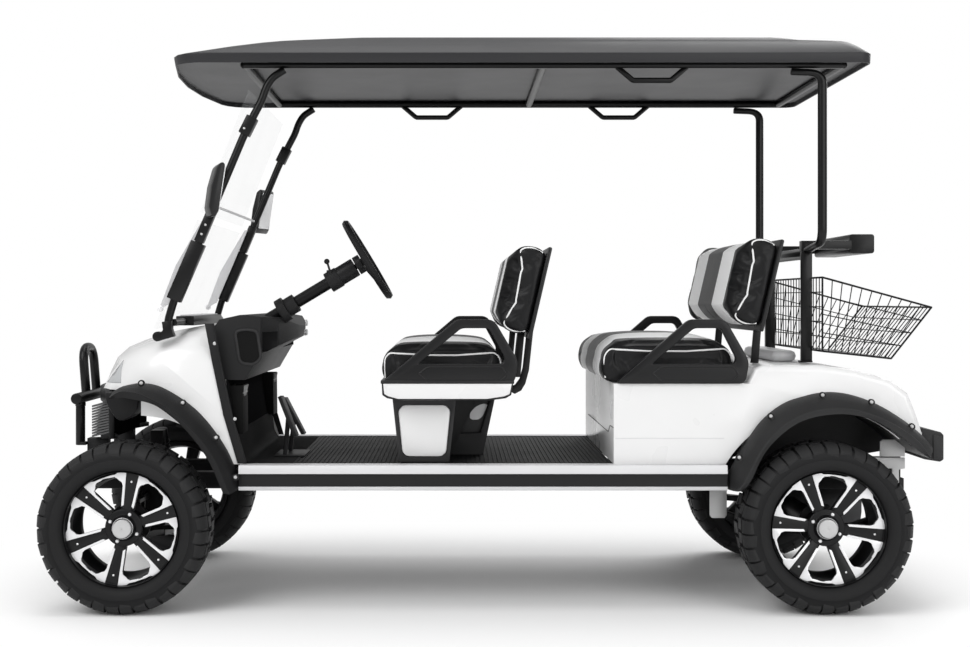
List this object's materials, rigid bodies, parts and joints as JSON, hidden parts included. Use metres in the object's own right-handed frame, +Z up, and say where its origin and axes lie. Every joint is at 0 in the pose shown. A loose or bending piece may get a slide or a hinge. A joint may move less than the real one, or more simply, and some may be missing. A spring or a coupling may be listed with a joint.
{
  "type": "golf cart",
  "caption": "Electric golf cart with two forward-facing bench seats, long roof on tube posts, folding clear screen, alloy wheels with chunky tyres, and a wire basket behind.",
  "frame": {"origin": "on the ground, at the middle of the cart's length and width", "axes": "the cart faces -Y, its left side is +X, +Z is up"},
  "size_m": [1.316, 3.1412, 1.994],
  "materials": {
    "black_steel": "satin black paint",
    "black_moulding": "fine-grained black moulding",
    "floor_rubber": "ribbed floor mat",
    "white_body": "glossy white body moulding",
    "lamp_clear": "clear lens",
    "grey_moulding": "grey moulding",
    "black_tube": "black powder coat",
    "dash_moulding": "fine-grained black moulding",
    "net_pocket": "black net",
    "pedal_steel": "grey-black paint with rubber pads",
    "clear_screen": "clear acrylic",
    "gloss_black": "black moulding",
    "roof_moulding": "satin black roof moulding",
    "seat_vinyl": "black and light grey seat vinyl",
    "lamp_red": "red lens",
    "bare_steel": "plated steel",
    "basket_wire": "black plastic-coated wire",
    "motor_grey": "grey housing",
    "battery_case": "plain battery case",
    "cast_knuckle": "cast knuckle",
    "wheel_grip": "moulded grip",
    "tyre": "black rubber",
    "rim_alloy": "machined faces, black painted spokes"
  },
  "bodies": {
    "chassis": {"frame_rails": "black_steel", "floor_pan": "black_moulding", "floor_mat": "floor_rubber", "rockers": "black_moulding", "cowl": "white_body", "headlamps": "lamp_clear", "front_bumper": "black_moulding", "grille": "grey_moulding", "brush_guard": "black_tube", "front_flares": "black_moulding", "rear_flares": "black_moulding", "dash": "dash_moulding", "kick_panel": "dash_moulding", "side_pockets": "net_pocket", "pedals": "pedal_steel", "steering_column": "black_steel", "front_posts": "black_tube", "windscreen": "clear_screen", "mirrors": "gloss_black", "roof": "roof_moulding", "roof_frame": "black_tube", "rear_struts": "black_tube", "grab_handles": "black_tube", "seat_pedestal": "black_moulding", "pedestal_panels": "white_body", "seat_pan": "white_body", "front_cushion": "seat_vinyl", "front_backrest": "seat_vinyl", "back_supports": "black_tube", "front_armrests": "gloss_black", "rear_cushion": "seat_vinyl", "rear_backrest": "seat_vinyl", "rear_armrests": "gloss_black", "rear_body": "white_body", "rear_bumper": "black_moulding", "tail_lamps": "lamp_red", "hitch": "bare_steel", "bag_stand": "black_tube", "basket": "basket_wire", "front_suspension": "black_steel", "rear_axle": "black_steel", "drive_motor": "motor_grey", "battery_block": "battery_case"},
    "knuckle_left": {"knuckle_left": "cast_knuckle"},
    "knuckle_right": {"knuckle_right": "cast_knuckle"},
    "wheel_front_left": {"tyre_front_left": "tyre", "rim_front_left": "rim_alloy"},
    "wheel_front_right": {"tyre_front_right": "tyre", "rim_front_right": "rim_alloy"},
    "wheel_rear_left": {"tyre_rear_left": "tyre", "rim_rear_left": "rim_alloy"},
    "wheel_rear_right": {"tyre_rear_right": "tyre", "rim_rear_right": "rim_alloy"},
    "steering_wheel": {"steering_wheel": "wheel_grip"},
    "tie_rod": {"tie_rod": "bare_steel"}
  },
  "joints": [
    {"name": "steer_left", "type": "hinge", "parent": "chassis", "child": "knuckle_left", "pos_m": [0.405, -1.27, 0.292], "axis": [0, 0, 1], "range_deg": [-30, 30]},
    {"name": "steer_right", "type": "hinge", "parent": "chassis", "child": "knuckle_right", "pos_m": [-0.405, -1.27, 0.292], "axis": [0, 0, 1], "range_deg": [-30, 30]},
    {"name": "wheel_front_left_roll", "type": "hinge", "parent": "knuckle_left", "child": "wheel_front_left", "pos_m": [0.52, -1.27, 0.292], "axis": [1, 0, 0], "continuous": true},
    {"name": "wheel_front_right_roll", "type": "hinge", "parent": "knuckle_right", "child": "wheel_front_right", "pos_m": [-0.52, -1.27, 0.292], "axis": [1, 0, 0], "continuous": true},
    {"name": "wheel_rear_left_roll", "type": "hinge", "parent": "chassis", "child": "wheel_rear_left", "pos_m": [0.52, 1.13, 0.292], "axis": [1, 0, 0], "continuous": true},
    {"name": "wheel_rear_right_roll", "type": "hinge", "parent": "chassis", "child": "wheel_rear_right", "pos_m": [-0.52, 1.13, 0.292], "axis": [1, 0, 0], "continuous": true},
    {"name": "steering_turn", "type": "hinge", "parent": "chassis", "child": "steering_wheel", "pos_m": [0.28, -0.455, 1.216], "axis": [0, 0.8572, 0.515], "range_deg": [-345.5, 345.5]},
    {"name": "tie_rod_slide", "type": "slide", "parent": "chassis", "child": "tie_rod", "axis": [1, 0, 0], "range_m": [-0.0634, 0.0634]}
  ],
  "couplings": [
    {"joint": "steer_right", "follows": "steer_left", "ratio": 1},
    {"joint": "steering_turn", "follows": "steer_left", "ratio": 11.5},
    {"joint": "tie_rod_slide", "follows": "steer_left", "m_per_rad": -0.12}
  ]
}
